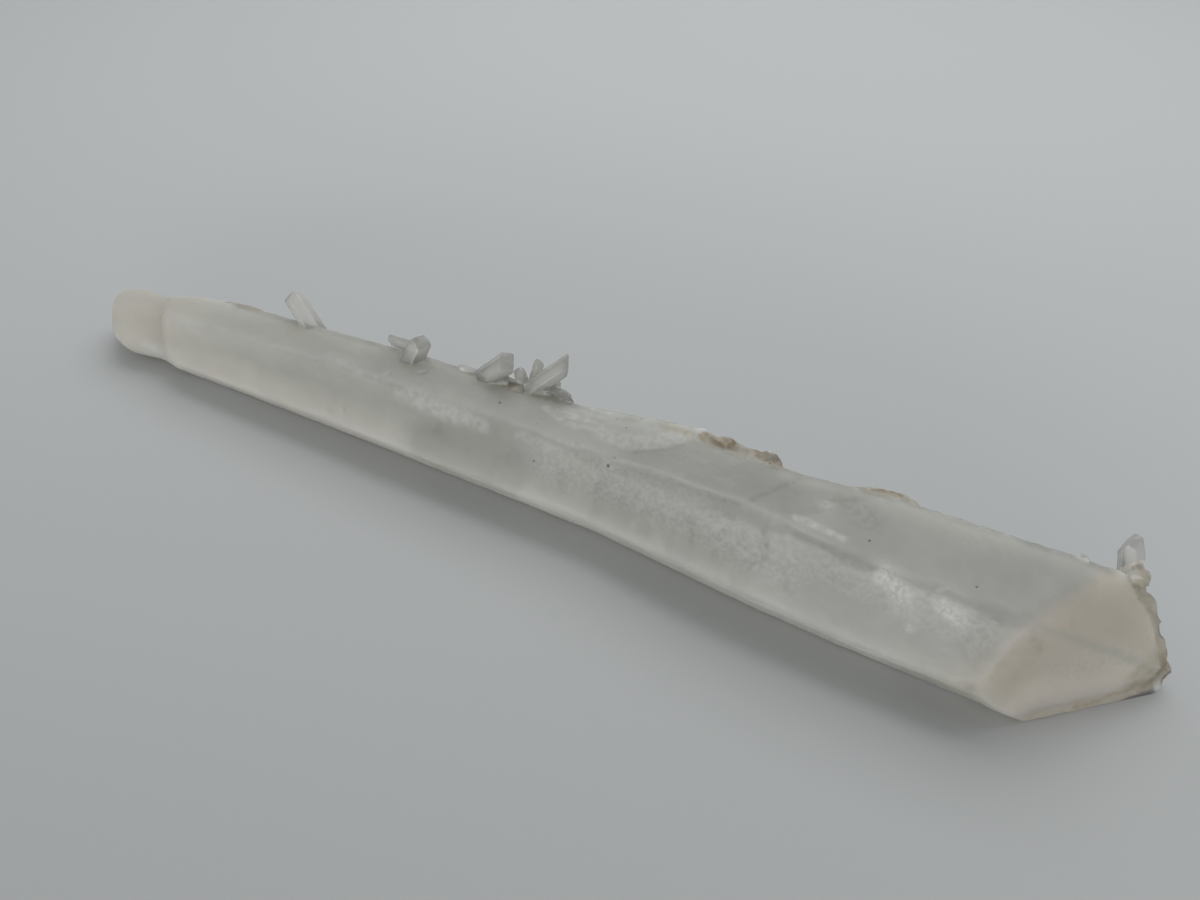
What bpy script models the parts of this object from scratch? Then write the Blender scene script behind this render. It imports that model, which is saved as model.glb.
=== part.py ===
"""Quartz crystal: a long, tapered, six-sided milky crystal that lies on one of its prism faces.

The crystal runs along X with its point at +X. The near side is -Y, and the small side crystals stand
on the back edge of the top face. It grew as one piece, so every form here ends up in one closed solid.
Lengths are in millimetres until the finished mesh is scaled to metres and centred over its base.
"""
import math

import bmesh
import bpy
from mathutils import Matrix, Vector, noise

NAME = "quartz_crystal"
MM = 0.001

# Section of the main crystal: prism faces meet its flat top and bottom at 60 degrees
FACE_SLOPE = math.tan(math.radians(60))
BACK_Y = 7.5            # the back edge of the top face runs straight along X
NEAR_BELLY = 0.44       # height of the widest edge on the near side, as a share of the ridge's
BACK_BELLY = 0.42       # the same on the back, as a share of the back edge's height

# Stations of the main crystal: x, y of the near foot edge, height of the ridge, height of the back edge
MAIN_STATIONS = [
    (-90, -2.0, 12.6, 9.6),
    (-84, -2.2, 13.0, 10.9),
    (-79, -2.3, 13.4, 12.2),
    (-68, -2.3, 13.8, 13.5),
    (-50, -2.5, 15.1, 14.2),
    (-30, -2.8, 16.3, 15.8),
    (14, -3.7, 16.9, 17.0),
    (26, -5.0, 18.6, 17.2),
    (36, -6.0, 19.4, 17.2),
    (43, -6.7, 19.2, 17.2),
    (56, -7.7, 18.7, 18.5),
    (74, -8.1, 18.7, 18.9),
    (106, -10.4, 19.3, 18.9),
]
FAR_END = ((-82.3, 1.0, 6.0), (-0.83, -0.55, 0.08))  # slanting face where the far crystal comes out

# The stubby rounded crystal at the far end, on the same kind of section
FAR_BACK_Y = 5.6
FAR_STATIONS = [
    (-74, -0.6, 10.0, 10.9),
    (-85.5, -1.5, 11.3, 10.7),
    (-91, -2.5, 11.9, 11.3),
    (-95, -0.4, 11.3, 11.2),
    (-98.6, 2.0, 9.2, 9.6),
    (-100.2, 3.2, 6.4, 6.6),
]

# Faces of the point. A quartz point face stands 38.2 degrees off the prism face below it
POINT_FACES = [
    ((77.5, -6.8, 19.0), (0.608, -0.755, 0.245)),   # large near face
    ((77.5, -6.8, 19.0), (0.667, -0.426, 0.611)),   # upper face
    ((92.5, 10.9, 15.6), (0.618, 0.778, 0.112)),    # back face
    ((99.9, 6.6, 3.0), (0.618, 0.600, -0.508)),     # small lower back face
    ((101.2, 6.3, 3.6), (0.880, -0.120, -0.460)),   # broken tip
]

# Layers grown on the back edge of the top face: x, y and height of the crest, y where the layer fades out
LONG_LAYER = [
    (3, 7.0, 16.4, 6.6),
    (9, 7.6, 17.05, 3.6),
    (16, 8.4, 17.5, 0.2),
    (20.5, 9.0, 17.7, 1.5),
    (24.4, 9.5, 17.85, 4.9),
    (26, 9.75, 17.95, 6.6),
    (28.4, 9.1, 17.7, 6.4),
    (32.5, 8.4, 17.55, 6.0),
    (34.2, 8.95, 17.7, 5.8),
    (36.2, 8.9, 17.7, 5.8),
    (39.5, 7.8, 17.4, 6.0),
    (43.5, 7.0, 16.9, 6.4),
]
NEAR_LAYER = [
    (49.5, 7.0, 17.9, 6.6),
    (53, 8.2, 18.6, 5.4),
    (57.5, 8.4, 19.0, 4.8),
    (59.6, 7.9, 18.95, 5.0),
    (61.5, 7.0, 18.2, 6.4),
]
FAR_LAYER = [
    (-74.5, 7.2, 12.8, 6.8),
    (-72, 7.7, 13.2, 5.9),
    (-64, 7.7, 13.85, 5.6),
    (-62.6, 7.0, 13.6, 6.8),
]
LAYER_SUNK = 0.35       # how deep a layer's edges are let into the crystal
CREST_ROUND = 0.7       # width and drop of the narrow face along a layer's crest
LAYER_DROP = 5.4        # how far a layer reaches down the back face

# Side crystals: root, tip, width, taper, turn about the axis, how far the point stands off it, blunt height
SIDE_CRYSTALS = [
    ((-49.3, 7.0, 12.4), (-56.7, 10.0, 18.7), 4.1, 0.86, 10, (0.0, 0.0, 0.0), 0.7),
    ((-27.0, 7.3, 17.3), (-33.3, 7.6, 16.9), 2.3, 0.92, 20, (0.0, 0.4, 0.7), 0.5),
    ((-27.6, 5.0, 14.0), (-25.1, 8.2, 20.6), 4.6, 0.88, 5, (0.2, 0.0, 0.0), 0.9),
    ((-12.8, 7.0, 15.9), (-7.0, 7.9, 21.8), 4.2, 0.95, 25, (-0.2, 0.0, 0.2), 1.0),
    ((-6.2, 8.6, 15.0), (-7.7, 10.0, 18.2), 2.6, 0.80, 0, (0.0, 0.0, 0.0), 0.3),
    ((-4.5, 7.2, 15.9), (2.7, 10.6, 22.7), 3.4, 0.96, 12, (-0.7, 0.0, 1.1), 0.2),
    ((-4.9, 9.0, 15.0), (-3.8, 10.8, 20.4), 2.0, 0.90, 30, (-0.4, 0.0, 0.0), 0.2),
    ((0.4, 8.2, 14.6), (-0.1, 10.0, 17.8), 1.3, 0.85, 0, (0.0, 0.0, 0.0), 0.0),
    ((90.6, 10.6, 13.6), (87.3, 12.2, 21.3), 4.2, 0.70, 15, (0.8, 0.0, 0.0), 0.4),
]
POINT_TILT = math.radians(38.2)
BLUNT_NORMAL = (0.2, -0.1, 1)  # the blunt end of a side crystal isn't quite square to its axis
MINOR_FACE_RISE = 0.45  # how far the three lesser point faces stand off, as a share of the width

# Rough lumps where crystals root and where the growth broke: centre, size, turn about Y and Z, seed
LUMPS = [
    ((1.5, 7.6, 17.5), (6.6, 2.2, 1.5), (5, -4), 3),        # dark chip beside the side crystals
    ((-9.3, 7.3, 16.4), (4.4, 2.6, 2.2), (10, 0), 5),       # rusty root between two side crystals
    ((-2.6, 7.9, 16.2), (4.6, 3.0, 2.6), (0, 10), 8),
    ((-27.4, 6.8, 15.4), (5.6, 3.6, 2.2), (0, 0), 11),
    ((-16.2, 7.3, 16.7), (4.6, 1.6, 1.3), (-4, 0), 13),
    ((90.2, 9.8, 16.8), (3.8, 3.0, 2.6), (12, 20), 17),     # beige lump under the upright crystal
    ((31.0, 8.5, 17.3), (5.2, 2.4, 1.7), (14, 0), 19),      # broken end of the long layer
    ((37.8, 8.5, 17.0), (4.2, 2.2, 2.0), (20, 0), 23),
    ((82.4, 7.4, 18.8), (2.6, 1.4, 1.1), (0, 0), 29),
]

# Chips out of the point's back and lower edges: centre, size, turn about Y and Z, seed
CHIPS = [
    ((97.0, 9.9, 9.4), (3.2, 2.2, 2.4), (30, 20), 41),
    ((100.0, 7.6, 5.4), (2.6, 2.2, 2.2), (10, 50), 43),
    ((100.8, 4.4, -0.2), (3.4, 3.6, 1.8), (0, 30), 47),
    ((97.0, 1.0, -0.6), (4.2, 2.4, 1.9), (0, 40), 53),
    ((91.4, -3.2, -0.7), (5.0, 2.0, 1.9), (0, 42), 59),
    ((93.6, 10.6, 14.2), (2.6, 2.2, 2.4), (20, 0), 61),
]
LUMP_ROUGHNESS = 0.68   # how far a lump's surface wanders, as a share of its size
LUMP_BUMPS = 2.6        # how many bumps fit along a lump
MERGE = 0.00002         # points closer than this, in metres, become one


def clear_scene():
    for obj in list(bpy.data.objects):
        bpy.data.objects.remove(obj, do_unlink=True)


def new_collection(name):
    collection = bpy.data.collections.new(name)
    bpy.context.scene.collection.children.link(collection)
    return collection


def new_object(name, bm, collection):
    """Turn a bmesh into an object, with its faces pointing out."""
    bmesh.ops.recalc_face_normals(bm, faces=bm.faces)
    mesh = bpy.data.meshes.new(name)
    bm.to_mesh(mesh)
    bm.free()
    obj = bpy.data.objects.new(name, mesh)
    collection.objects.link(obj)
    return obj


def new_helper(name, bm, collection):
    """An object that is only joined to the crystal or cut out of it."""
    obj = new_object(name, bm, collection)
    obj.hide_render = True
    obj.display_type = "WIRE"
    return obj


def section(station, back_y):
    """The six corners of a section, from the near foot up over the top and down the back."""
    x, foot_y, ridge_z, back_z = station
    belly_z = NEAR_BELLY * ridge_z
    belly_y = foot_y - belly_z / FACE_SLOPE
    ridge_y = belly_y + (ridge_z - belly_z) / FACE_SLOPE
    back_belly_z = BACK_BELLY * back_z
    back_belly_y = back_y + (back_z - back_belly_z) / FACE_SLOPE
    heel_y = back_belly_y - back_belly_z / FACE_SLOPE
    return [
        (x, foot_y, 0),
        (x, belly_y, belly_z),
        (x, ridge_y, ridge_z),
        (x, back_y, back_z),
        (x, back_belly_y, back_belly_z),
        (x, heel_y, 0),
    ]


def loft(rings):
    """A closed skin over rings of corners, with a cap on each end."""
    bm = bmesh.new()
    rows = [[bm.verts.new(corner) for corner in ring] for ring in rings]
    for row, following in zip(rows, rows[1:]):
        for i in range(len(row)):
            j = (i + 1) % len(row)
            bm.faces.new((row[i], row[j], following[j], following[i]))
    bm.faces.new(rows[0])
    bm.faces.new(rows[-1])
    bmesh.ops.triangulate(bm, faces=bm.faces)
    return bm


def cut_flat(bm, point, normal):
    """Cut everything past a plane away and close the cut with a flat face."""
    geometry = bm.verts[:] + bm.edges[:] + bm.faces[:]
    cut = bmesh.ops.bisect_plane(
        bm, geom=geometry, dist=1e-5, plane_co=point, plane_no=normal, clear_outer=True)
    edges = [item for item in cut["geom_cut"] if isinstance(item, bmesh.types.BMEdge)]
    bmesh.ops.holes_fill(bm, edges=edges)


def main_crystal(collection):
    bm = loft([section(station, BACK_Y) for station in MAIN_STATIONS])
    for point, normal in [FAR_END] + POINT_FACES:
        cut_flat(bm, point, normal)
    bmesh.ops.triangulate(bm, faces=bm.faces)
    return new_object(NAME, bm, collection)


def far_crystal(collection):
    bm = loft([section(station, FAR_BACK_Y) for station in FAR_STATIONS])
    return new_helper("far_crystal", bm, collection)


def top_face_z(x, y):
    """Height of the main crystal's top face, between its ridge and its back edge."""
    for low, high in zip(MAIN_STATIONS, MAIN_STATIONS[1:]):
        if low[0] <= x <= high[0]:
            share = (x - low[0]) / (high[0] - low[0])
            station = [a + share * (b - a) for a, b in zip(low, high)]
            ridge = section(station, BACK_Y)[2]
            across = (y - ridge[1]) / (BACK_Y - ridge[1])
            return ridge[2] + across * (station[3] - ridge[2])
    raise ValueError(f"no station at x {x}")


def growth_layer(name, crest, collection):
    """A wedge of later growth on the back edge: highest there, and fading out on the top face."""
    rings = []
    for x, crest_y, crest_z, fade_y in crest:
        hidden_z = top_face_z(x, BACK_Y) - LAYER_DROP
        rings.append([
            (x, fade_y, top_face_z(x, fade_y) - LAYER_SUNK),
            (x, crest_y, crest_z),
            (x, crest_y + CREST_ROUND, crest_z - CREST_ROUND),
            (x, BACK_Y + LAYER_DROP / FACE_SLOPE - LAYER_SUNK, hidden_z),
            (x, fade_y, hidden_z),
        ])
    return new_helper(name, loft(rings), collection)


def side_crystal(name, root, tip, width, taper, turn, point_side, blunt, collection):
    """A small six-sided crystal with three large and three lesser point faces."""
    axis = Vector(tip) - Vector(root)
    length = axis.length
    upright = axis.to_track_quat("Z", "Y")
    turned = Matrix.Rotation(math.radians(turn), 4, "Z")
    offset = turned.inverted() @ (upright.inverted() @ Vector(point_side))
    bm = bmesh.new()
    bmesh.ops.create_cone(
        bm, cap_ends=True, segments=6, radius1=width / 2, radius2=taper * width / 2, depth=length)
    bmesh.ops.translate(bm, verts=bm.verts, vec=(0, 0, length / 2))
    for face in range(6):
        angle = math.radians(60 * face + 30)
        outward = Vector((math.cos(angle), math.sin(angle), 0))
        normal = math.cos(POINT_TILT) * outward + Vector((0, 0, math.sin(POINT_TILT)))
        rise = MINOR_FACE_RISE * width if face % 2 else 0
        cut_flat(bm, (offset.x, offset.y, length + rise), normal)
    if blunt:
        cut_flat(bm, (offset.x, offset.y, length - blunt), BLUNT_NORMAL)
    place = Matrix.Translation(root) @ upright.to_matrix().to_4x4() @ turned
    bmesh.ops.transform(bm, matrix=place, verts=bm.verts)
    return new_helper(name, bm, collection)


def lump(name, centre, size, turns, seed, collection):
    """A rough angular lump: a coarse ball whose points wander in and out."""
    bm = bmesh.new()
    bmesh.ops.create_icosphere(bm, subdivisions=2, radius=0.5)
    for vert in bm.verts:
        wander = noise.noise(LUMP_BUMPS * vert.co + Vector((seed, 0, 0)))
        vert.co *= 1 + LUMP_ROUGHNESS * wander
    shape = Matrix.Diagonal((*size, 1))
    turn = Matrix.Rotation(math.radians(turns[1]), 4, "Z") @ Matrix.Rotation(math.radians(turns[0]), 4, "Y")
    bmesh.ops.transform(bm, matrix=Matrix.Translation(centre) @ turn @ shape, verts=bm.verts)
    return new_helper(name, bm, collection)


def combine(target, helper, operation):
    modifier = target.modifiers.new(f"{operation.lower()}_{helper.name}", "BOOLEAN")
    modifier.operation = operation
    modifier.object = helper
    modifier.solver = "EXACT"


def finish(crystal):
    """Make the joined shape one clean mesh in metres, flat on its base and centred over it."""
    graph = bpy.context.evaluated_depsgraph_get()
    mesh = bpy.data.meshes.new_from_object(crystal.evaluated_get(graph))
    crystal.modifiers.clear()
    crystal.data = mesh
    bm = bmesh.new()
    bm.from_mesh(mesh)
    cut_flat(bm, (0, 0, 0), (0, 0, -1))
    bmesh.ops.scale(bm, verts=bm.verts, vec=(MM, MM, MM))
    bmesh.ops.remove_doubles(bm, verts=bm.verts, dist=MERGE)
    bmesh.ops.dissolve_degenerate(bm, dist=MERGE, edges=bm.edges)
    bmesh.ops.triangulate(bm, faces=bm.faces)
    xs = [vert.co.x for vert in bm.verts]
    ys = [vert.co.y for vert in bm.verts]
    middle = Vector(((min(xs) + max(xs)) / 2, (min(ys) + max(ys)) / 2, 0))
    bmesh.ops.translate(bm, verts=bm.verts, vec=-middle)
    bmesh.ops.recalc_face_normals(bm, faces=bm.faces)
    bm.to_mesh(mesh)
    bm.free()
    print("crystal centred from", tuple(round(value / MM, 3) for value in middle), "mm")


def milky_quartz():
    material = bpy.data.materials.new("milky_quartz")
    material.use_nodes = True
    surface = material.node_tree.nodes["Principled BSDF"]
    surface.inputs["Base Color"].default_value = (0.63, 0.63, 0.58, 1)
    surface.inputs["Roughness"].default_value = 0.4
    surface.inputs["Metallic"].default_value = 0.0
    return material


def build():
    clear_scene()
    parts = new_collection(NAME)
    helpers = new_collection("cutters")
    crystal = main_crystal(parts)
    grown = [far_crystal(helpers)]
    for name, crest in (("long_layer", LONG_LAYER), ("near_layer", NEAR_LAYER), ("far_layer", FAR_LAYER)):
        grown.append(growth_layer(name, crest, helpers))
    for number, crystal_form in enumerate(SIDE_CRYSTALS):
        grown.append(side_crystal(f"side_crystal_{number}", *crystal_form, helpers))
    for number, (centre, size, turns, seed) in enumerate(LUMPS):
        grown.append(lump(f"lump_{number}", centre, size, turns, seed, helpers))
    for helper in grown:
        combine(crystal, helper, "UNION")
    for number, (centre, size, turns, seed) in enumerate(CHIPS):
        combine(crystal, lump(f"chip_{number}", centre, size, turns, seed, helpers), "DIFFERENCE")
    bpy.context.view_layer.update()
    finish(crystal)
    crystal.data.materials.clear()
    crystal.data.materials.append(milky_quartz())


build()
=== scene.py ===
"""The looks of a long milky quartz crystal that lies on a pale table."""
import math

import bmesh
import bpy
import numpy as np
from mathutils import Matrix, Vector, noise


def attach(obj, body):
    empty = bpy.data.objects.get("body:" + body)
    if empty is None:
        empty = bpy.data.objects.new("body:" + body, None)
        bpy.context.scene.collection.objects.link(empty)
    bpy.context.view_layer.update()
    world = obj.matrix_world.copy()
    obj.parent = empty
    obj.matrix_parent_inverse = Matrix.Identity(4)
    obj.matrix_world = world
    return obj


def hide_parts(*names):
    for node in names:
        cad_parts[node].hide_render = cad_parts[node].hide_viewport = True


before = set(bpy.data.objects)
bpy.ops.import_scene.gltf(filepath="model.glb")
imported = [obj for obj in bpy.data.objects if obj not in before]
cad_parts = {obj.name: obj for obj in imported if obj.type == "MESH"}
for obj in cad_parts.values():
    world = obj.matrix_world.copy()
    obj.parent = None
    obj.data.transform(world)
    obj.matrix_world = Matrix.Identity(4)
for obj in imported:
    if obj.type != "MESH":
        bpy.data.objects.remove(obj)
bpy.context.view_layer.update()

# The camera stands low over the crystal's thick end and looks down at 45 degrees, so the near
# point looms and the far end shrinks away.
CAMERA_PLACE = (0.056452, -0.090978, 0.1164)
CAMERA_TILT = 45
CAMERA_TURN = 25.9
LENS, SENSOR_WIDTH = 27, 36
NEAREST_SEEN = 0.005
camera_data = bpy.data.cameras.new("photo_camera")
camera_data.lens = LENS
camera_data.sensor_width = SENSOR_WIDTH
camera_data.clip_start = NEAREST_SEEN
camera = bpy.data.objects.new("photo_camera", camera_data)
camera.location = CAMERA_PLACE
camera.rotation_euler = (math.radians(CAMERA_TILT), 0, math.radians(CAMERA_TURN))
bpy.context.scene.collection.objects.link(camera)
bpy.context.scene.camera = camera


# The crystal grew as one piece: a six-sided prism of milky quartz with its point, a stubby far
# end, growth layers, side crystals and rough broken places. Its faces are cut into small
# triangles here, so that their relief, worn edges and rough breaks are real shapes.
MM = 0.001
FACE_GRAIN = 1.0        # longest triangle edge on the plain faces, in millimetres
CUT_LENGTHS = (24, 12, 6, 3, 1.8, FACE_GRAIN, FACE_GRAIN)
CUTS_PER_LENGTH = 3
SAME_POINT = 0.00001
FLAT = 0.003            # two triangles closer to one plane than this, in radians, are one face
THIN_PAIR = math.pi + 0.001     # opposite corners of two thin triangles add up to more than this
TURN_ROUNDS = 12

# Places with small forms: centre, reach and longest triangle edge, in millimetres
FINE_PLACES = [
    ((-53.0, 8.0, 16.0), 8, 0.45), ((-29.0, 7.0, 18.0), 8, 0.45), ((-9.0, 8.0, 19.0), 8, 0.4),
    ((1.0, 8.0, 19.0), 8, 0.4), ((34.0, 7.5, 18.0), 8, 0.45), ((89.0, 11.0, 17.0), 8, 0.4),
    ((98.0, 4.5, 5.0), 7, 0.4), ((93.0, 0.0, 1.0), 6, 0.5), ((56.0, 7.5, 18.5), 5, 0.5),
    ((6.0, 3.0, 16.8), 6, 0.45), ((48.0, -3.5, 19.0), 4, 0.45), ((61.0, -8.0, 17.0), 4, 0.45),
    ((68.0, -8.3, 16.7), 3, 0.45),
]

# Small dark inclusions just under the faces: place and radius in millimetres
SPECKS = [
    ((-6.8, 1.4, 16.7), 0.30), ((15.4, -3.6, 16.4), 0.34), ((15.9, -2.2, 17.0), 0.22),
    ((2.9, -4.9, 13.1), 0.22), ((37.9, 6.9, 17.4), 0.26), ((55.4, -2.8, 18.7), 0.28),
    ((70.2, -4.4, 18.7), 0.24), ((91.5, 7.5, 13.9), 0.26), ((1.2, -0.4, 16.7), 0.16),
    ((12.4, 6.0, 17.1), 0.2), ((14.6, 4.8, 17.1), 0.18), ((86.4, -4.4, 9.0), 0.2),
    ((-60.2, -6.1, 8.4), 0.2), ((30.6, 3.1, 17.6), 0.16), ((46.9, -10.9, 8.6), 0.22),
]
SPECK_GRAIN = 0.2
SPECK_REACH = 2.5       # the fine triangles round a speck reach this many times its radius
FINE_PLACES += [(centre, SPECK_REACH * radius, SPECK_GRAIN) for centre, radius in SPECKS]


def cut_long_edges(bm, longest):
    """Halve the edges longer than this many millimetres, or than the grain of a fine place."""
    places = [(Vector(centre) * MM, reach * MM, grain * MM) for centre, reach, grain in FINE_PLACES]

    def limit(edge):
        if longest > FACE_GRAIN:
            return longest * MM
        middle = (edge.verts[0].co + edge.verts[1].co) / 2
        return min([longest * MM] + [grain for centre, reach, grain in places
                                     if (middle - centre).length < reach + edge.calc_length() / 2])

    long_edges = [edge for edge in bm.edges if edge.calc_length() > limit(edge)]
    for edge in sorted(long_edges, key=lambda edge: -edge.calc_length()):
        corners = [loop.link_loop_prev.vert for loop in edge.link_loops]
        middle = bmesh.utils.edge_split(edge, edge.verts[0], 0.5)[1]
        for corner in corners:
            cut_face = next(face for face in middle.link_faces
                            if len(face.verts) == 4 and corner in face.verts)
            bmesh.utils.face_split(cut_face, middle, corner)


def even_out(bm):
    """Turn the edges inside each flat face that leave its triangles thinner than need be."""
    waiting = bm.edges[:]
    for _ in range(TURN_ROUNDS):
        turned = []
        for edge in waiting:
            if not edge.is_valid or not edge.is_manifold or edge.calc_face_angle() > FLAT:
                continue
            start, end = (vert.co for vert in edge.verts)
            corners = [loop.link_loop_prev.vert.co for loop in edge.link_loops]
            if sum((start - corner).angle(end - corner) for corner in corners) > THIN_PAIR:
                turned.append(bmesh.utils.edge_rotate(edge, False))
        near = (side for edge in turned if edge and edge.is_valid
                for face in edge.link_faces for side in face.edges)
        waiting = list(dict.fromkeys(near))


bm = bmesh.new()
bm.from_mesh(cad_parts["quartz_crystal"].data)
bmesh.ops.remove_doubles(bm, verts=bm.verts, dist=SAME_POINT)
even_out(bm)
for longest in CUT_LENGTHS:
    for _ in range(CUTS_PER_LENGTH):
        cut_long_edges(bm, longest)
    even_out(bm)
bm.verts.index_update()
points = np.array([vert.co for vert in bm.verts]) / MM
pairs = np.array([[vert.index for vert in edge.verts] for edge in bm.edges])
valence = np.bincount(pairs.ravel(), minlength=len(points))


def neighbour_mean(values):
    """The mean of each point's neighbours along the triangle edges."""
    columns = []
    for column in values.T:
        total = np.bincount(pairs[:, 0], column[pairs[:, 1]], len(points))
        total += np.bincount(pairs[:, 1], column[pairs[:, 0]], len(points))
        columns.append(total / valence)
    return np.array(columns).T


def ramp(values, low, high):
    """A smooth climb from 0 at low to 1 at high."""
    share = np.clip((values - low) / (high - low), 0, 1)
    return share * share * (3 - 2 * share)


TINY = 1e-9


def painted(strokes):
    """How strongly strokes cover each point: width, soft edge, strength, then the path in mm."""
    cover = np.zeros(len(points))
    for width, soft, strength, *path in strokes:
        for start, end in zip(path, path[1:] or path):
            start, along = np.array(start), np.subtract(end, start)
            squared_length = max(along @ along, TINY)
            share = np.clip((points - start) @ along / squared_length, 0, 1)
            distance = np.linalg.norm(points - start - share[:, None] * along, axis=1)
            cover = np.maximum(cover, strength * ramp(-distance, -width, soft - width))
    return cover


def wander(size, seed, stretch=(1, 1, 1)):
    """Smooth noise from -1 to 1 at each point, with bumps about this many millimetres wide."""
    shift = Vector((seed, 0, 0))
    places = points / (size * np.array(stretch))
    return np.array([noise.noise(Vector(place) + shift) for place in places])


# The side crystals: slim prisms of clearer quartz that grew out of the back edge. Each stands on
# the long axis given here, and what lies within its width and off the big crystal is its own.
SIDE_CRYSTALS = [
    ((-49.3, 6.5, 12.4), (-56.7, 9.5, 18.7), 4.1), ((-27.0, 6.8, 17.3), (-33.3, 7.1, 16.9), 2.3),
    ((-27.6, 4.5, 14.0), (-25.1, 7.7, 20.6), 4.6), ((-12.8, 6.5, 15.9), (-7.0, 7.4, 21.8), 4.2),
    ((-6.2, 8.1, 15.0), (-7.7, 9.5, 18.2), 2.6), ((-4.5, 6.7, 15.9), (2.7, 10.1, 22.7), 3.4),
    ((-4.9, 8.5, 15.0), (-3.8, 10.3, 20.4), 2.0), ((0.4, 7.7, 14.6), (-0.1, 9.5, 17.8), 1.3),
    ((90.6, 10.1, 13.6), (87.3, 11.7, 21.3), 4.2),
]
BACK_EDGE_X = (-90, -79, -68, -50, -30, 14, 43, 56, 106)
BACK_EDGE_Z = (9.6, 12.2, 13.5, 14.2, 15.8, 17.0, 17.2, 18.5, 18.9)
BACK_EDGE_Y = 7.0
BACK_SLOPE = math.radians(60)
PROUD = 0.5             # how far off the big crystal a side crystal's own faces begin
AXIS_REACH = 0.75       # share of its width that a side crystal reaches out from its axis
ROOT_LUMPS = [(2.7, 0.8, 1, (90.2, 9.3, 16.4)), (2.4, 0.8, 1, (1.2, 7.1, 16.6), (4.8, 7.1, 17.0)),
              (2.2, 0.8, 1, (-16.0, 6.8, 17.2))]
near_axis = painted([(AXIS_REACH * width, 0.1, 1, root, tip) for root, tip, width in SIDE_CRYSTALS])
back_z = np.interp(points[:, 0], BACK_EDGE_X, BACK_EDGE_Z)
over_top = points[:, 2] - back_z
over_back = points[:, 1] - BACK_EDGE_Y - (back_z - points[:, 2]) / math.tan(BACK_SLOPE)
off_body = ramp(np.maximum(over_top, over_back), 0.3 * PROUD, PROUD)
on_side_crystal = near_axis * off_body * (1 - painted(ROOT_LUMPS))

# Worn edges: years of handling rounded the long edges a little and the far stub a lot, while the
# small side crystals kept theirs crisp.
WORN_ANGLE = math.radians(14)   # edges sharper than this are worn
WEAR_SPREAD = 1.2               # how strongly the wear reaches the points beside an edge
WEAR_ROUNDS, WEAR_STEP = 4, 0.5
KEPT_CRISP = 0.8                # share of the wear that the side crystals are spared
STUB_X = (-74, -81)             # the far stub's rounding grows between these places
STUB_ROUNDS, STUB_STEP = 30, 0.6
SOFT_EDGES = [
    (2.6, 2.2, 0.55, (86.0, 6.0, 18.9), (77.5, -7.1, 18.8), (74.0, -12.5, 8.2), (76.0, -9.5, 0.9)),
    (1.6, 1.4, 0.5, (-70.0, -2.2, 13.8), (14.0, -3.4, 16.9), (43.0, -5.8, 19.2), (77.5, -7.3, 18.8)),
]
sharp = np.array([edge.is_manifold and edge.calc_face_angle() > WORN_ANGLE for edge in bm.edges])
worn = np.zeros(len(points))
worn[pairs[sharp].ravel()] = 1
worn = np.maximum(worn, WEAR_SPREAD * neighbour_mean(worn[:, None])[:, 0]).clip(0, 1)
uneven = 0.6 + 0.4 * wander(7, 3)
edge_wear = worn * uneven * (1 - KEPT_CRISP * on_side_crystal)
on_stub = ramp(-points[:, 0], -STUB_X[0], -STUB_X[1])
soft = np.maximum(on_stub, painted(SOFT_EDGES))
for _ in range(WEAR_ROUNDS):
    points += WEAR_STEP * edge_wear[:, None] * (neighbour_mean(points) - points)
for _ in range(STUB_ROUNDS):
    points += STUB_STEP * soft[:, None] * (neighbour_mean(points) - points)

# Rough breaks: the chipped tip, the broken back and lower edges of the point, and the rough roots
# and lumps on the back edge broke in small shell-shaped bites.
ROUGH_STROKES = [
    (3.4, 3.0, 0.7, (91.4, 8.1, 16.4), (94.7, 9.0, 11.5), (98.2, 6.5, 6.0), (99.0, 5.6, 4.5)),
    (2.6, 2.2, 0.6, (99.0, 5.6, 4.5), (97.7, 3.5, 2.1), (91.9, -1.6, 0.7), (82.0, -9.4, 0.2)),
    (3.0, 1.5, 0.7, (100.0, 6.5, 2.0)),
    (2.6, 2.0, 0.7, (-8.0, 6.5, 17.4), (-2.6, 7.4, 16.6)),
    (2.0, 1.4, 0.4, (-2.6, 7.4, 16.6), (5.0, 7.1, 17.4)),
    (2.2, 1.8, 0.7, (26.9, 7.8, 17.5), (31.0, 7.8, 17.8), (39.6, 7.7, 17.2)),
    (1.6, 1.4, 0.7, (50.0, 7.4, 18.6), (60.0, 7.6, 18.8)),
    (2.4, 1.6, 0.5, (90.2, 9.3, 16.8), (90.2, 9.3, 18.0)),
    (1.8, 1.5, 0.5, (-72.0, 7.2, 13.2), (-63.0, 7.0, 13.8)),
    (1.0, 0.8, 0.35, (60.0, 7.2, 18.6), (86.0, 6.9, 18.9)),
    (0.9, 0.7, 0.3, (-57.0, -6.6, 6.3), (8.0, -7.0, 6.6), (34.0, -10.1, 8.0), (74.0, -12.6, 8.2)),
]
BITE_SIZES = [(3.2, 1.05, 11), (1.3, 0.42, 12), (0.7, 0.2, 13)]    # width, depth in mm and seed
KEPT_WHOLE = 0.7        # share of the bites that the side crystals are spared
rough = painted(ROUGH_STROKES) * (1 - KEPT_WHOLE * on_side_crystal)
bites = -sum(depth * np.abs(wander(width, seed)) for width, depth, seed in BITE_SIZES)

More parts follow.
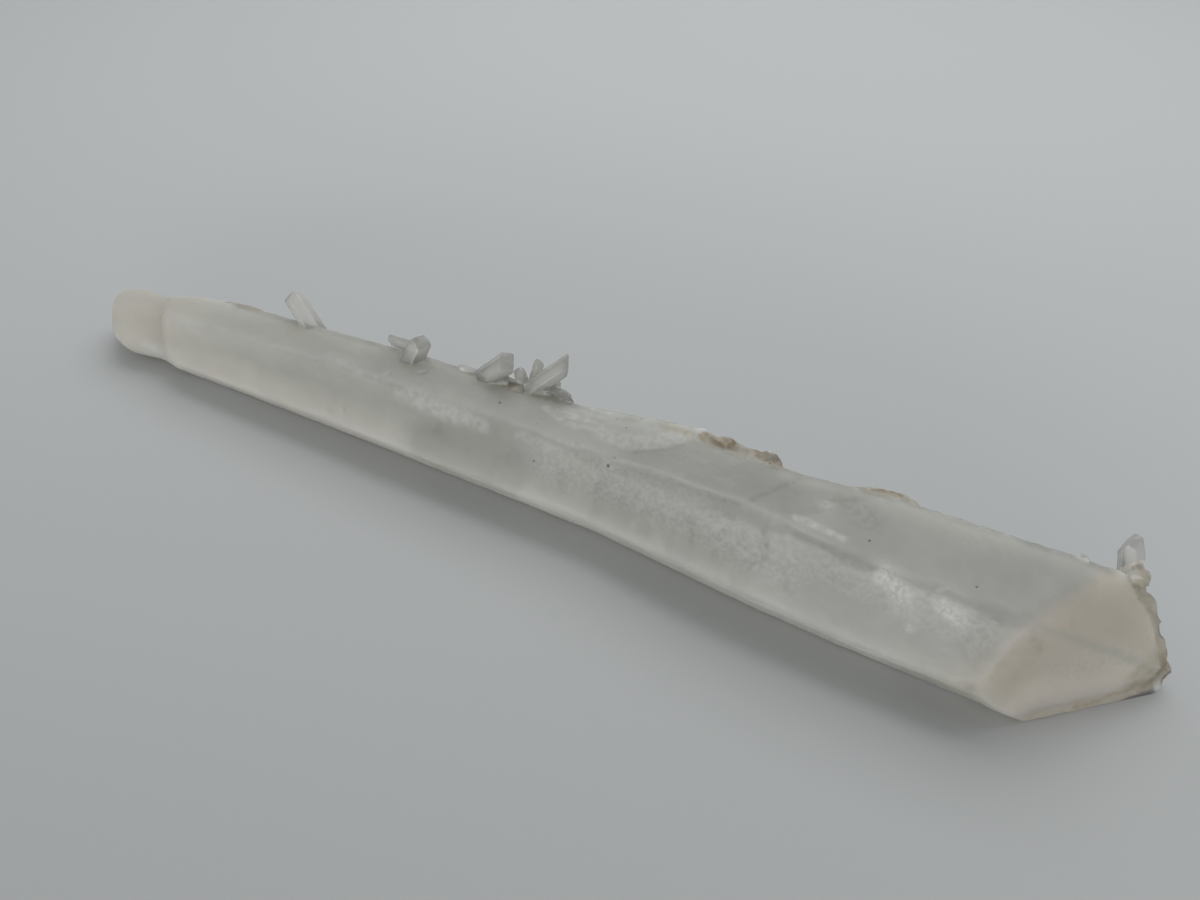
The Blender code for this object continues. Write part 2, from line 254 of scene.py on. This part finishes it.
# Growth relief: prism faces of quartz swell gently, carry fine cross lines from their growth, and
# have shallow pits. All of it is too low to see except as the way light breaks on the faces.
SWELL = 0.16
CROSS_LINES = 0.035
PIT_DEPTH = 0.16
STUB_SWELL = 0.3        # gives back what the stub's wear took off its size
KEPT_SMOOTH = 0.9       # share of the relief that the side crystals are spared
FLAT_BELOW = 0.8        # the relief fades out from here down, so the face it rests on stays flat
CRISP_ANGLE = math.radians(25)      # edges sharper than this catch the light as lines
swell = SWELL * wander(12, 21, (2.2, 1, 1)) + 0.35 * SWELL * wander(3.5, 22)
cross_lines = CROSS_LINES * wander(1.5, 23, (1, 9, 9))
pit_places = ramp(wander(1.9, 24), 0.38, 0.6) * ramp(wander(9, 25), -0.1, 0.3)
relief = (swell + cross_lines - PIT_DEPTH * pit_places) * (1 - KEPT_SMOOTH * on_side_crystal)
relief += rough * bites + STUB_SWELL * on_stub
relief *= ramp(points[:, 2], 0.0, FLAT_BELOW)

for vert, place in zip(bm.verts, points):
    vert.co = place * MM
bm.normal_update()
normals = np.array([vert.normal for vert in bm.verts])
points += relief[:, None] * normals
points[:, 2] = np.maximum(points[:, 2], 0)
for vert, place in zip(bm.verts, points):
    vert.co = place * MM
crystal_mesh = bpy.data.meshes.new("milky_quartz_crystal")
bm.to_mesh(crystal_mesh)
bm.free()
crystal = bpy.data.objects.new("milky_quartz_crystal", crystal_mesh)
bpy.context.scene.collection.objects.link(crystal)
crystal_mesh.shade_smooth()
crystal_mesh.set_sharp_from_angle(angle=CRISP_ANGLE)

# Marks in the crystal: milky frost, painted glints for flashes off inner cracks, smoky clouds, rust
# in the broken places, a beige cast on the point and the far stub, and dark inclusions. Each is strokes
# along the real crystal's own lines, with a width, a soft edge and a strength, then the path in mm.
# Dusk and shade are painted shade, the shade partly the body's own greyer tone, and glow and under are
# painted light on the shaded lower corners and on the faces that look down.
POINT_PLANES = [((77.5, -7.3, 19.0), (0.608, -0.755, 0.245)),
                ((77.5, -7.3, 19.0), (0.667, -0.426, 0.611))]
beige_point = np.zeros(len(points))
for place, normal in POINT_PLANES:
    beige_point = np.maximum(beige_point, ramp((points - place) @ np.array(normal), -1.3, 0.1))
MARKS = {
    "rough": ramp(rough, 0.35, 0.55),
    "beige": np.maximum.reduce([beige_point, 0.45 * ramp(-points[:, 0], 74, 80), painted([
        (2.6, 1.5, 1.0, (90.2, 9.3, 16.8), (90.2, 9.3, 18.0)),
        (8.0, 6.0, 0.9, (80.0, -9.0, 6.0), (75.0, -10.5, 6.0)),
        (4.5, 4.0, 0.35, (-76.8, -5.7, 6.8), (-56.6, -6.5, 6.2), (-39.0, -5.9, 4.8), (-15.2, -6.4, 4.9)),
    ])]),
    # A lighter far part of the crystal, and painted light on the lower near face and along the lower edge,
    # lifting the shade under the belly and the contact shadow at the point.
    "milk_and_painted_light": np.maximum(0.8 * ramp(-points[:, 0], 20, 88), painted([
        (9.0, 7.0, 1.0, (-80.0, -6.0, 5.0), (-58.0, -6.5, 7.0)),
        (8.0, 6.5, 0.8, (-58.0, -6.5, 7.0), (-40.0, -6.2, 7.0), (-26.0, -6.2, 7.0)),
        (7.0, 5.5, 0.5, (-26.0, -7.0, 6.0), (10.0, -8.0, 6.0), (24.0, -9.0, 6.5)),
        (2.5, 2.0, 0.8, (24.0, -9.5, 3.0), (50.0, -10.5, 2.0), (80.0, -9.8, 1.5)),
        (1.9, 1.2, 1.0, (84.0, -8.2, 0.8), (91.9, -2.0, 0.9), (96.0, 1.8, 1.4)),
    ])),
    "dust": painted([
        (5.5, 4.5, 0.8, (6.0, -4.5, 14.0), (30.0, -6.0, 15.0), (46.0, -8.0, 14.0)),
        (4.0, 3.0, 0.6, (50.0, -7.6, 16.0), (72.0, -8.8, 15.0)),
        (3.0, 2.5, 0.4, (24.0, 2.0, 17.8), (34.0, 0.0, 18.2)),
        (5.0, 4.0, 0.5, (84.0, -6.0, 8.0), (92.0, 1.0, 8.0)),
    ]),
    "grit": np.maximum(off_body * painted([
        (3.2, 1.0, 1.0, (0.6, 7.6, 17.2), (5.4, 7.6, 17.4)),
    ]), painted([
        (1.3, 1.0, 0.8, (-8.6, 7.0, 17.2), (-5.0, 7.0, 17.0)),
        (1.2, 1.0, 0.7, (98.0, 5.0, 4.0), (97.4, 3.6, 2.4)),
        (1.0, 0.7, 0.8, (35.4, 8.6, 18.0), (38.6, 8.4, 17.2)),
        (0.8, 0.6, 0.7, (-31.0, 7.0, 16.6), (-29.0, 6.6, 16.4)),
    ])),
    # Painted shade: a darker band along the broken back edge and the lumps of the point, where light
    # bleeding through would otherwise make them glow white.
    "painted_rim_shade": painted([
        (2.4, 1.8, 1.0, (-68.0, 7.4, 13.4), (-30.0, 7.4, 15.8), (14.0, 7.6, 17.2), (26.0, 9.2, 17.6),
         (36.0, 8.4, 17.6), (43.0, 7.2, 17.2), (55.0, 7.8, 18.8), (86.0, 7.2, 18.8)),
        (2.2, 1.4, 0.9, (24.0, 8.6, 17.8), (30.0, 8.6, 18.4), (38.0, 8.6, 18.0)),
        (2.6, 1.6, 0.9, (91.8, 10.4, 15.0), (95.4, 10.4, 10.0), (99.0, 8.4, 5.0), (100.6, 5.0, 1.5)),
    ]),
    # Painted shade on the lower near face beside the point, which evens its tone with the point's end
    # face.
    "painted_end_shade": (1 - beige_point) * painted([
        (7.0, 5.5, 1.0, (68.0, -11.0, 5.0), (76.0, -9.5, 7.0), (75.5, -8.8, 12.0)),
    ]),
    # Painted shade, partly the body's own greyer tone: darker patches on the lower near face, a band that
    # dims the bright strip by the lower edge, and a darker line along the point's ridge.
    "shade": painted([
        (7.0, 2.0, 0.8, (-14.5, -5.5, 8.5), (-4.0, -5.5, 9.5)),
        (5.0, 4.0, 0.5, (8.0, -6.0, 10.0), (40.0, -8.5, 12.0)),
        (4.5, 3.5, 0.55, (20.0, -8.4, 5.5), (34.0, -9.6, 5.8), (55.0, -10.8, 5.0), (76.0, -10.5, 6.0)),
        (1.3, 1.1, 0.8, (79.0, -6.4, 17.4), (81.9, -4.8, 15.8), (94.3, 2.4, 7.1), (97.0, 4.2, 5.0)),
    ]),
    "frost": painted([
        (1.6, 1.4, 0.4, (-41.1, 0.3, 15.5), (-30.0, -2.2, 16.2)),
        (2.2, 1.6, 0.9, (-24.0, -2.7, 15.7), (-17.8, -3.1, 15.3), (-12.8, -3.3, 15.2)),
        (1.7, 1.2, 0.85, (-11.5, -3.1, 15.6), (-7.3, -3.4, 15.3)),
        (1.3, 1.0, 0.7, (-0.7, -3.1, 16.0), (4.6, -3.4, 15.8)),
        (0.9, 0.5, 0.8, (0.4, 3.7, 16.8), (4.2, 2.2, 16.8)),
        (1.0, 0.5, 1.0, (2.9, 3.5, 16.8), (6.9, 3.7, 16.9), (11.1, 3.1, 16.9)),
        (0.9, 0.5, 0.8, (5.7, 1.7, 16.8), (11.0, 2.6, 16.9)),
        (2.2, 1.2, 0.8, (11.8, 2.2, 16.9), (15.9, 2.0, 17.0), (19.6, 3.0, 17.2), (23.6, 6.0, 17.4)),
        (2.6, 2.0, 0.45, (4.0, 6.0, 17.0), (16.5, 6.0, 17.4), (21.5, 6.5, 17.5)),
        (2.6, 2.2, 0.4, (42.2, -6.4, 18.1), (45.5, -7.1, 17.2)),
        (2.2, 1.8, 0.7, (48.1, 1.1, 18.6)),
        (1.0, 0.7, 1.0, (44.9, -3.3, 19.0), (47.8, -3.7, 19.0), (51.8, -4.1, 18.8)),
        (4.2, 3.8, 0.5, (59.0, -7.4, 18.0), (63.2, -8.6, 15.9)),
        (3.4, 3.0, 0.5, (66.3, -8.1, 17.0), (69.8, -8.7, 16.0)),
        (1.8, 1.4, 0.5, (71.5, -11.6, 6.5)),
        (2.5, 2.0, 0.3, (18.0, -5.0, 14.0), (30.0, -6.0, 16.5), (40.0, -7.5, 16.5)),
        (3.0, 2.0, 0.9, (-84.5, -4.6, 4.6), (-79.0, -5.2, 5.4)),
    ]),
    "smoke": painted([
        (0.9, 0.8, 0.6, (17.5, -3.4, 17.3), (29.2, -4.5, 18.8), (37.1, -4.6, 19.3)),
        (0.9, 0.8, 0.35, (37.1, -4.6, 19.3), (44.8, -5.8, 19.1), (52.3, -6.8, 18.6), (57.5, -7.0, 18.6)),
        (0.7, 0.6, 0.35, (-52.0, -2.0, 14.9), (-32.9, -2.0, 16.1), (-19.7, -2.1, 16.4)),
        (4.0, 3.6, 0.5, (49.9, 3.2, 18.5), (54.5, 1.1, 18.6)),
        (1.0, 0.8, 0.5, (30.5, -7.0, 14.8), (31.8, -8.9, 11.8)),
        (0.9, 0.7, 0.7, (41.5, -6.5, 17.8), (42.8, -8.6, 14.5)),
        (0.9, 0.7, 0.3, (7.6, -5.0, 13.2), (8.8, -6.7, 10.3)),
        (0.7, 0.5, 0.6, (37.7, -4.5, 19.2), (39.0, -1.6, 18.7), (40.8, 2.1, 18.1), (42.6, 5.4, 17.5)),
        (0.6, 0.5, 0.5, (16.6, -0.3, 17.0), (20.3, 1.3, 17.2), (24.3, 4.6, 17.3), (25.9, 8.1, 17.6)),
        (1.3, 1.0, 0.5, (78.9, -7.2, 15.7), (80.2, -6.8, 13.7)),
        (1.3, 1.0, 0.6, (-28.5, 4.6, 16.0), (-25.5, 4.4, 16.3)),
        (2.0, 1.6, 0.7, (-8.5, 6.0, 17.0), (4.0, 6.4, 17.4)),
    ]),
    # Painted light: lighter colour in the shaded lower corner of the point and on the far stub's crease.
    "painted_glow": painted([
        (7.0, 6.0, 0.9, (82.5, -7.4, 4.0), (88.0, -3.6, 3.0), (94.0, 1.2, 3.0)),
        (2.4, 2.2, 0.35, (-83.5, 3.8, 11.9), (-78.5, -3.0, 11.8), (-78.0, -5.0, 7.5)),
    ]),
    "olive": painted([
        (5.0, 3.6, 1.0, (99.2, 5.8, 4.6), (96.6, 3.6, 4.0)),
        (2.8, 2.0, 0.9, (98.6, 6.6, 6.0), (95.0, 9.2, 11.5), (91.8, 8.6, 16.4)),
    ]),
    "rust": painted([
        (1.3, 1.0, 0.5, (20.1, 7.2, 17.6), (22.1, 7.5, 17.6), (24.0, 7.4, 17.6)),
        (1.4, 1.0, 0.8, (26.9, 7.8, 17.5), (29.5, 7.3, 18.0), (31.4, 7.7, 17.8)),
        (0.9, 0.5, 1.0, (31.2, 8.0, 18.2), (32.0, 8.2, 17.8)),
        (1.4, 1.2, 0.65, (35.2, 8.4, 17.7), (37.5, 7.8, 18.1), (39.6, 7.7, 17.0)),
        (1.1, 0.7, 1.0, (51.3, 8.2, 18.8), (54.4, 8.0, 18.9), (57.2, 7.9, 19.0)),
        (1.5, 1.2, 0.7, (-8.2, 6.0, 18.2), (-7.4, 7.5, 16.7)),
        (1.2, 0.8, 0.9, (98.2, 6.5, 6.0), (99.0, 5.6, 4.5)),
        (0.9, 0.7, 0.5, (97.7, 3.5, 2.1), (91.9, -1.6, 1.2), (88.9, -4.1, 1.0)),
    ]),
    # Painted highlights: bright glints where inner cracks would reflect the light, on the point's faces,
    # the top and the far stub.
    "painted_glint": painted([
        (2.3, 2.2, 1.0, (58.6, -7.4, 18.0), (60.2, -7.7, 17.4), (61.6, -8.3, 16.6)),
        (1.9, 1.8, 0.9, (66.8, -8.1, 16.9), (69.2, -8.5, 16.2)),
        (1.0, 0.9, 0.7, (63.9, -10.3, 13.1)),
        (2.2, 2.0, 0.4, (48.1, 1.1, 18.6)),
        (1.2, 1.1, 0.4, (44.9, -3.3, 19.0), (47.8, -3.7, 19.0), (50.0, -3.9, 18.9)),
        (3.0, 2.4, 0.4, (-84.5, -4.6, 4.6), (-80.0, -5.2, 5.4)),
    ]),
    "speck": painted([(radius, 0.6 * radius, 1, centre) for centre, radius in SPECKS]),
    "haze": painted([(5.0, 1.0, 1.0, (-51.0, 7.0, 14.0), (-56.7, 9.5, 18.7)),
                     (5.0, 1.0, 1.0, (90.6, 10.1, 13.6), (87.3, 11.7, 21.3))]),
    "edge": worn * (1 - on_side_crystal),
    # Painted light: faces that look down are made paler, standing in for light reaching the shaded
    # undersides.
    "painted_underlight": ramp(-normals[:, 2], 0.15, 0.5) * (1 - on_side_crystal),
}
for name, cover in MARKS.items():
    crystal_mesh.attributes.new(name, "FLOAT", "POINT").data.foreach_set("value", cover)


def linear(hex_colour):
    """An sRGB hex colour as linear RGBA."""
    channels = [int(hex_colour[i:i + 2], 16) / 255 for i in (1, 3, 5)]
    return (*[c / 12.92 if c <= 0.04045 else ((c + 0.055) / 1.055) ** 2.4 for c in channels], 1)


def add(material, kind, settings=None, links=None):
    """Add a node with its settings, and link its inputs from other nodes' outputs."""
    node = material.node_tree.nodes.new(kind)
    for name, value in (settings or {}).items():
        if isinstance(name, int) or name in node.inputs:
            node.inputs[name].default_value = value
        else:
            setattr(node, name, value)
    for name, source in (links or {}).items():
        material.node_tree.links.new(source, node.inputs[name])
    return node


# Milky quartz: frosted natural faces over a cloudy inside that lets light bleed through it, which
# gives the eye a soft grey-white body with no hard shadows. The frost is finer than a millimetre and
# is drawn at 0.6 mm so that it shows; the milky clouds are about a centimetre across.
QUARTZ_IOR = 1.544
BLEED = (1.0, 1.0, 0.9)         # red, green and blue light bleed through almost alike
PER_MM = 1000
quartz = bpy.data.materials.new("milky_quartz")
quartz.use_nodes = True
surface = quartz.node_tree.nodes["Principled BSDF"]
surface.inputs["IOR"].default_value = QUARTZ_IOR
surface.inputs["Subsurface Radius"].default_value = BLEED
surface.inputs["Subsurface Scale"].default_value = 24 * MM
place = add(quartz, "ShaderNodeTexCoord").outputs["Object"]
clouds = add(quartz, "ShaderNodeTexNoise",
             {"Scale": PER_MM / 14, "Detail": 3.0, "Roughness": 0.6}, {"Vector": place})
mottle = add(quartz, "ShaderNodeTexNoise",
             {"Scale": PER_MM / 1.8, "Detail": 5.0, "Roughness": 0.7}, {"Vector": place})
cloudy = add(quartz, "ShaderNodeMapRange",
             {"From Min": 0.35, "From Max": 0.65}, {"Value": clouds.outputs["Fac"]})
mottled = add(quartz, "ShaderNodeMapRange",
              {"From Min": 0.3, "From Max": 0.7}, {"Value": mottle.outputs["Fac"]})
body = add(quartz, "ShaderNodeMixRGB", {"Color1": linear("#a0a09b"), "Color2": linear("#aaa9a3")},
           {"Fac": cloudy.outputs["Result"]})
colour = add(quartz, "ShaderNodeMixRGB", {"blend_type": "MULTIPLY", "Fac": 1.0},
             {"Color1": body.outputs["Color"], "Color2": add(
                 quartz, "ShaderNodeMapRange", {"To Min": 0.955, "To Max": 1.035},
                 {"Value": mottled.outputs["Result"]}).outputs["Result"]})

# Each mark's colour, the grain in millimetres that breaks it up, how much of it that takes away,
# and its strength. Later marks lie over earlier ones.
MARK_COLOURS = [
    # painted light on the faces that look down
    ("painted_underlight", "#bfbdb5", 3.0, 0.1, 0.85),
    # lighter far part, and painted light on the lower near face and the lower edge
    ("milk_and_painted_light", "#c0beb6", 9.0, 0.2, 0.9),
    ("beige", "#b3aa9d", 6.0, 0.15, 0.85),
    # painted light in the shaded corners
    ("painted_glow", "#c6beb1", 5.0, 0.1, 0.8),
    # painted shade beside the point
    ("painted_end_shade", "#96938a", 8.0, 0.15, 0.8),
    # painted shade, partly the body's own greyer tone
    ("shade", "#94958c", 8.0, 0.25, 0.7),
    ("frost", "#c4c5c1", 1.3, 0.75, 0.65),
    ("edge", "#a8a7a1", 1.0, 0.8, 0.2),
    # painted shade along the back edge
    ("painted_rim_shade", "#7b7b74", 4.0, 0.4, 0.8),
    ("rough", "#b0a898", 1.5, 0.3, 0.9),
    ("dust", "#bdbeb9", 0.7, 1.0, 0.5),
    ("smoke", "#7f7d76", 1.1, 0.8, 0.7),
    ("olive", "#857e6c", 2.0, 0.45, 0.8),
    ("grit", "#57534a", 1.3, 0.5, 0.9),
    ("rust", "#7f6845", 0.8, 0.6, 0.9),
    # painted highlights: glints standing in for light flashing off inner cracks
    ("painted_glint", "#dcdcd8", 0.6, 0.9, 0.5),
    ("speck", "#2f2b27", 0.3, 0.2, 0.95),
]
for mark, hex_colour, grain, broken, strength in MARK_COLOURS:
    cover = add(quartz, "ShaderNodeAttribute", {"attribute_name": mark})
    breaks = add(quartz, "ShaderNodeTexNoise", {"Scale": PER_MM / grain, "Detail": 4.0}, {"Vector": place})
    patches = add(quartz, "ShaderNodeMapRange", {"From Min": 0.4, "From Max": 0.6, "To Min": 1 - broken},
                  {"Value": breaks.outputs["Fac"]})
    amount = add(quartz, "ShaderNodeMath", {"operation": "MULTIPLY"},
                 {0: cover.outputs["Fac"], 1: patches.outputs["Result"]})
    limited = add(quartz, "ShaderNodeMath",
                  {"operation": "MULTIPLY", 1: strength}, {0: amount.outputs["Value"]})
    colour = add(quartz, "ShaderNodeMixRGB", {"Color2": linear(hex_colour)},
                 {"Fac": limited.outputs["Value"], "Color1": colour.outputs["Color"]})
quartz.node_tree.links.new(colour.outputs["Color"], surface.inputs["Base Color"])

# Crushed grains at the breaks stop the light, so less of it bleeds through there.
dense = add(quartz, "ShaderNodeMapRange", {"To Min": 1.0, "To Max": 0.2},
            {"Value": add(quartz, "ShaderNodeAttribute", {"attribute_name": "rough"}).outputs["Fac"]})
quartz.node_tree.links.new(dense.outputs["Result"], surface.inputs["Subsurface Weight"])
gloss = add(quartz, "ShaderNodeMapRange",
            {"To Min": 0.34, "To Max": 0.52}, {"Value": mottled.outputs["Result"]})
quartz.node_tree.links.new(gloss.outputs["Result"], surface.inputs["Roughness"])
frosting = add(quartz, "ShaderNodeTexNoise", {"Scale": PER_MM / 0.6, "Detail": 3.0}, {"Vector": place})
bump = add(quartz, "ShaderNodeBump",
           {"Strength": 0.5, "Distance": 0.05 * MM}, {"Height": frosting.outputs["Fac"]})
quartz.node_tree.links.new(bump.outputs["Normal"], surface.inputs["Normal"])

# Clear quartz: the side crystals have little milk in them, so what lies behind them shows through
# a haze, and their glassy faces glint. Their base colour is near white, because each pass of light
# through a wall takes on that colour.
clear = bpy.data.materials.new("clear_quartz")
clear.use_nodes = True
glassy = clear.node_tree.nodes["Principled BSDF"]
glassy.inputs["IOR"].default_value = QUARTZ_IOR
glassy.inputs["Transmission Weight"].default_value = 0.6
glassy.inputs["Subsurface Weight"].default_value = 1.0
glassy.inputs["Subsurface Radius"].default_value = BLEED
glassy.inputs["Subsurface Scale"].default_value = 4 * MM
glassy.inputs["Roughness"].default_value = 0.25
hazy = add(clear, "ShaderNodeTexNoise", {"Scale": PER_MM / 2.5, "Detail": 3.0},
           {"Vector": add(clear, "ShaderNodeTexCoord").outputs["Object"]})
haze_cover = add(clear, "ShaderNodeAttribute", {"attribute_name": "haze"})
haze = add(clear, "ShaderNodeMixRGB", {"Color1": linear("#d8d7d1"), "Color2": linear("#eeede7")},
           {"Fac": haze_cover.outputs["Fac"]})
clear.node_tree.links.new(haze.outputs["Color"], glassy.inputs["Base Color"])
clear_bump = add(clear, "ShaderNodeBump",
                 {"Strength": 0.3, "Distance": 0.04 * MM}, {"Height": hazy.outputs["Fac"]})
clear.node_tree.links.new(clear_bump.outputs["Normal"], glassy.inputs["Normal"])

crystal_mesh.materials.clear()
crystal_mesh.materials.append(quartz)
crystal_mesh.materials.append(clear)
corners = np.array([polygon.vertices for polygon in crystal_mesh.polygons])
is_clear = on_side_crystal[corners].mean(axis=1) > 0.5
crystal_mesh.polygons.foreach_set("material_index", is_clear.astype(np.int32))
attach(crystal, "root")
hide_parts("quartz_crystal")


# The table: a plain pale sheet of card, matt and very slightly cool, so it shows no gloss and the
# crystal's shadow lies soft on it.
TABLE_REACH = 1.5


def sheet_mesh(name, reach_x, reach_y):
    """A flat four-cornered sheet that reaches this far from its middle on each side."""
    mesh = bpy.data.meshes.new(name)
    mesh.from_pydata([(-reach_x, -reach_y, 0), (reach_x, -reach_y, 0),
                      (reach_x, reach_y, 0), (-reach_x, reach_y, 0)], [], [(0, 1, 2, 3)])
    return mesh


floor_mesh = sheet_mesh("table_card", TABLE_REACH, TABLE_REACH)
floor = bpy.data.objects.new("table_card", floor_mesh)
bpy.context.scene.collection.objects.link(floor)
card = bpy.data.materials.new("pale_card")
card.use_nodes = True
card.node_tree.nodes["Principled BSDF"].inputs["Base Color"].default_value = linear("#cacccb")
card.node_tree.nodes["Principled BSDF"].inputs["Roughness"].default_value = 0.8
floor_mesh.materials.append(card)

# Soft light from a window behind the crystal and overhead, with a grey room around it and a low
# fill from the front. A dark card behind the camera keeps the front of the table dimmer.
ROOM_GREY = "#e0e3e6"
ROOM_STRENGTH = 0.6
BACK_WINDOW = ((-0.02, 0.25, 0.42), (0.5, 0.35), 0.95)      # place and size in metres, and watts
ROOM_FRONT = ((0.12, -0.6, 0.08), (1.0, 0.14), 2.2)
SHADE_REACH = (0.19, 0.09)
SHADE_PLACE = (0.0, -0.137, 0.14)
world = bpy.data.worlds.new("room")
world.use_nodes = True
world.node_tree.nodes["Background"].inputs["Color"].default_value = linear(ROOM_GREY)
world.node_tree.nodes["Background"].inputs["Strength"].default_value = ROOM_STRENGTH
bpy.context.scene.world = world


def soft_light(name, place, size, watts):
    """A rectangular soft light at a place, turned towards the crystal."""
    data = bpy.data.lights.new(name, "AREA")
    data.shape = "RECTANGLE"
    data.size, data.size_y = size
    data.energy = watts
    light = bpy.data.objects.new(name, data)
    light.location = place
    light.rotation_euler = (-Vector(place)).to_track_quat("-Z", "Y").to_euler()
    bpy.context.scene.collection.objects.link(light)


soft_light("back_window", *BACK_WINDOW)
soft_light("room_front", *ROOM_FRONT)
shade_mesh = sheet_mesh("shade_card", *SHADE_REACH)
shade = bpy.data.objects.new("shade_card", shade_mesh)
shade.location = SHADE_PLACE
shade.rotation_euler = camera.rotation_euler
shade.visible_camera = False
bpy.context.scene.collection.objects.link(shade)
black = bpy.data.materials.new("dark_card")
black.use_nodes = True
black.node_tree.nodes["Principled BSDF"].inputs["Base Color"].default_value = linear("#2a2a2c")
shade_mesh.materials.append(black)
bpy.context.scene.view_settings.view_transform = "Standard"
